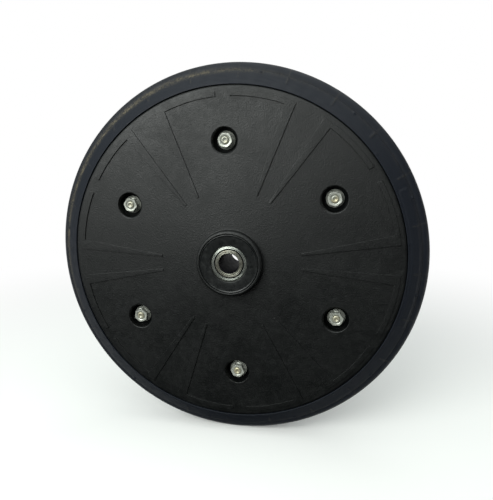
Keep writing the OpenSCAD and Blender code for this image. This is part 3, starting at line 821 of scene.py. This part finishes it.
class PRESSWHEEL_OT_bearings(bpy.types.Operator):
    """Finishes the rings, balls, cages and seals of both bearings, and the spacer between them"""
    bl_idname = "presswheel.bearings"
    bl_label = "Bearings and spacer"

    def execute(self, context):
        c = context.scene.press_wheel_colours
        ring = bearing_steel(c)
        ball = plated_steel("polished ball steel", c.ball_steel, c.ring_steel, metallic=1.0, roughness=0.14)
        cage = satin_moulding(
            "moulded cage nylon", c.cage_nylon, c.passivate, roughness=0.5, mark_size=1.5 * MM)
        seal = satin_moulding(
            "nitrile seal rubber", c.seal_rubber, c.plastic_dust, roughness=0.55, mark_size=1.5 * MM)
        drawn = turned_steel(
            "drawn spacer steel", c.spacer_steel, c.ring_steel,
            roughness=0.42, ring_w=0.6 * MM, ring_h=0.3 * MM, crown=0)
        for end in ("front_", "rear_"):
            finish_node(end + "outer_ring", ring, bevel=0.1 * MM)
            finish_node(end + "inner_ring", ring, bevel=0.2 * MM)
            finish_node(end + "balls", ball)
            finish_node(end + "cage", cage)
            finish_node(end + "outboard_seal", seal, bevel=0.15 * MM)
            finish_node(end + "inboard_seal", seal, bevel=0.15 * MM)
        finish_node("inner_spacer", drawn, bevel=0.15 * MM)
        return {"FINISHED"}


class PRESSWHEEL_OT_stage(bpy.types.Operator):
    """Sets up the pale floor with a black card, the white surround, two soft lamps and the camera"""
    bl_idname = "presswheel.stage"
    bl_label = "Studio"

    def seen_ray(self, tree):
        """Sockets that are 1 for camera rays, and for camera, glossy and transmission rays."""
        path = add(tree, "ShaderNodeLightPath")
        camera = path.outputs["Is Camera Ray"]
        sharp = add(tree, "ShaderNodeMath", {
            0: path.outputs["Is Glossy Ray"], 1: path.outputs["Is Transmission Ray"]}, operation="MAXIMUM")
        seen = add(tree, "ShaderNodeMath", {0: camera, 1: sharp.outputs[0]}, operation="MAXIMUM")
        return camera, seen.outputs[0]

    def card(self, name, half_width, front, back, level, material):
        """A level rectangle of the stage, from the front to the back along Y."""
        mesh = bpy.data.meshes.new(name)
        corners = [(-half_width, front), (half_width, front), (half_width, back), (-half_width, back)]
        mesh.from_pydata([(x, y, level) for x, y in corners], [], [(0, 1, 2, 3)])
        mesh.materials.append(material)
        card = bpy.data.objects.new(name, mesh)
        bpy.context.scene.collection.objects.link(card)
        return card

    def floor(self, pale):
        """A matt floor under the wheel that fades into the white surround with its distance."""
        reach, near, far = 3, 0.2, 0.75
        least_glow = 0.1
        material, tree, shader, place = plain_material("pale studio floor", pale, roughness=0.9)
        seen = self.seen_ray(tree)[1]
        away = add(tree, "ShaderNodeVectorMath", {0: place}, operation="LENGTH").outputs["Value"]
        fade = add(tree, "ShaderNodeMapRange", {
            "Value": away, "From Min": near, "From Max": far}, interpolation_type="SMOOTHSTEP")
        glow = add(tree, "ShaderNodeMapRange", {
            "Value": fade.outputs[0], "To Min": least_glow, "To Max": 1})
        lift = add(tree, "ShaderNodeMath", {0: seen, 1: glow.outputs[0]}, operation="MULTIPLY")
        ground = add(tree, "ShaderNodeMix", {
            "Factor": fade.outputs[0], MIX_A: (*pale, 1), MIX_B: (0, 0, 0, 1)}, data_type="RGBA")
        fill(tree, shader, {
            "Base Color": ground.outputs[MIX_RESULT], "Emission Color": (1, 1, 1, 1),
            "Emission Strength": lift.outputs[0]})
        self.card("floor", reach, -reach, reach, CAD_BOX[0][2], material)

    def flag(self):
        """A black card on the floor before the wheel. Only reflections see it, so black pieces stay dark."""
        half_width, front, back = 1, -1.2, -0.006
        material = plain_material("black studio card", (0.01, 0.01, 0.01), roughness=0.9)[0]
        flag = self.card("flag", half_width, front, back, CAD_BOX[0][2] + 1 * MM, material)
        flag.visible_camera = False
        flag.visible_diffuse = False
        flag.visible_shadow = False

    def surround(self):
        """White for camera rays, and behind the wheel for glossy and transmission rays too. Other rays meet
        a dim room that is lighter up and to the left."""
        lighter, dim, light = (-0.5, -0.35, 0.8), 0.015, 0.45
        room_tint = (0.86, 0.98, 1, 1)
        world = bpy.data.worlds.new("studio room")
        bpy.context.scene.world = world
        world.use_nodes = True
        tree = world.node_tree
        way = add(tree, "ShaderNodeTexCoord").outputs["Generated"]
        axes = add(tree, "ShaderNodeSeparateXYZ", {0: way})
        lean = add(tree, "ShaderNodeVectorMath", {0: way, 1: lighter}, operation="DOT_PRODUCT")
        room = add(tree, "ShaderNodeMapRange", {
            "Value": lean.outputs["Value"], "From Min": 0.15, "From Max": 1,
            "To Min": dim, "To Max": light})
        behind = add(tree, "ShaderNodeMapRange", {
            "Value": axes.outputs["Y"], "From Min": 0.3, "From Max": 0.7})
        camera, seen = self.seen_ray(tree)
        glossy_white = add(tree, "ShaderNodeMath", {0: seen, 1: behind.outputs[0]}, operation="MULTIPLY")
        white = add(tree, "ShaderNodeMath", {0: camera, 1: glossy_white.outputs[0]}, operation="MAXIMUM")
        level = add(tree, "ShaderNodeMix", {
            "Factor": white.outputs[0], MIX_NUMBER_A: room.outputs[0], MIX_NUMBER_B: 1.0})
        tint = add(tree, "ShaderNodeMix", {
            "Factor": white.outputs[0], MIX_A: room_tint, MIX_B: (1, 1, 1, 1)}, data_type="RGBA")
        fill(tree, tree.nodes["Background"], {
            "Strength": level.outputs[0], "Color": tint.outputs[MIX_RESULT]})

    def lamp(self, name, towards, distance, width, energy):
        """A square soft lamp at a distance from the wheel, turned to it."""
        towards = Vector(towards).normalized()
        light = bpy.data.lights.new(name, "AREA")
        light.shape = "SQUARE"
        light.size = width
        light.energy = energy
        light.color = (0.965, 1, 0.965)
        lamp = bpy.data.objects.new(name, light)
        lamp.location = distance * towards
        lamp.rotation_euler = towards.to_track_quat("Z", "Y").to_euler()
        bpy.context.scene.collection.objects.link(lamp)

    def camera(self):
        """Looks at the wheel from a little to the right and above, as the photograph does."""
        back = Vector((
            math.sin(CAMERA_HEADING) * math.cos(CAMERA_CLIMB),
            -math.cos(CAMERA_HEADING) * math.cos(CAMERA_CLIMB),
            math.sin(CAMERA_CLIMB)))
        lens = bpy.data.cameras.new("camera")
        lens.lens = CAMERA_LENS
        lens.sensor_width = CAMERA_SENSOR
        eye = bpy.data.objects.new("camera", lens)
        turn = back.to_track_quat("Z", "Y").to_matrix().to_4x4()
        eye.matrix_world = Matrix.Translation(CAMERA_PLACE) @ turn
        bpy.context.scene.collection.objects.link(eye)
        bpy.context.scene.camera = eye

    def execute(self, context):
        context.scene.view_settings.view_transform = "Standard"
        self.floor(context.scene.press_wheel_colours.floor)
        self.flag()
        self.surround()
        self.lamp("softbox", towards=(-0.40, -0.80, 0.45), distance=1.2, width=0.88, energy=14.0)
        self.lamp("ceiling panel", towards=(0.2, -0.2, 0.95), distance=1.5, width=2.0, energy=19.0)
        self.camera()
        return {"FINISHED"}


OPERATORS = (
    PRESSWHEEL_OT_tyre, PRESSWHEEL_OT_rims, PRESSWHEEL_OT_fasteners, PRESSWHEEL_OT_hub,
    PRESSWHEEL_OT_bearings, PRESSWHEEL_OT_stage)


class PRESSWHEEL_PT_panel(bpy.types.Panel):
    """Lists the pieces of the wheel with their sizes and colours"""
    bl_idname = "PRESSWHEEL_PT_panel"
    bl_label = "Press wheel"
    bl_space_type = "VIEW_3D"
    bl_region_type = "UI"
    bl_category = "Press Wheel"

    def draw(self, context):
        for operator in OPERATORS:
            self.layout.operator(operator.bl_idname)
        for group in (context.scene.press_wheel_sizes, context.scene.press_wheel_colours):
            for name in group.__annotations__:
                self.layout.prop(group, name)


CLASSES = (PressWheelSizes, PressWheelColours, *OPERATORS, PRESSWHEEL_PT_panel)


def register():
    """Registers the classes, and gives the scene its sizes and colours."""
    for item in CLASSES:
        bpy.utils.register_class(item)
    bpy.types.Scene.press_wheel_sizes = bpy.props.PointerProperty(type=PressWheelSizes)
    bpy.types.Scene.press_wheel_colours = bpy.props.PointerProperty(type=PressWheelColours)


def unregister():
    """Takes back what register adds."""
    del bpy.types.Scene.press_wheel_colours
    del bpy.types.Scene.press_wheel_sizes
    for item in reversed(CLASSES):
        bpy.utils.unregister_class(item)


def main():
    register()
    bpy.ops.presswheel.tyre()
    bpy.ops.presswheel.rims()
    bpy.ops.presswheel.fasteners()
    bpy.ops.presswheel.hub()
    bpy.ops.presswheel.bearings()
    bpy.ops.presswheel.stage()


if __name__ == "__main__":
    main()
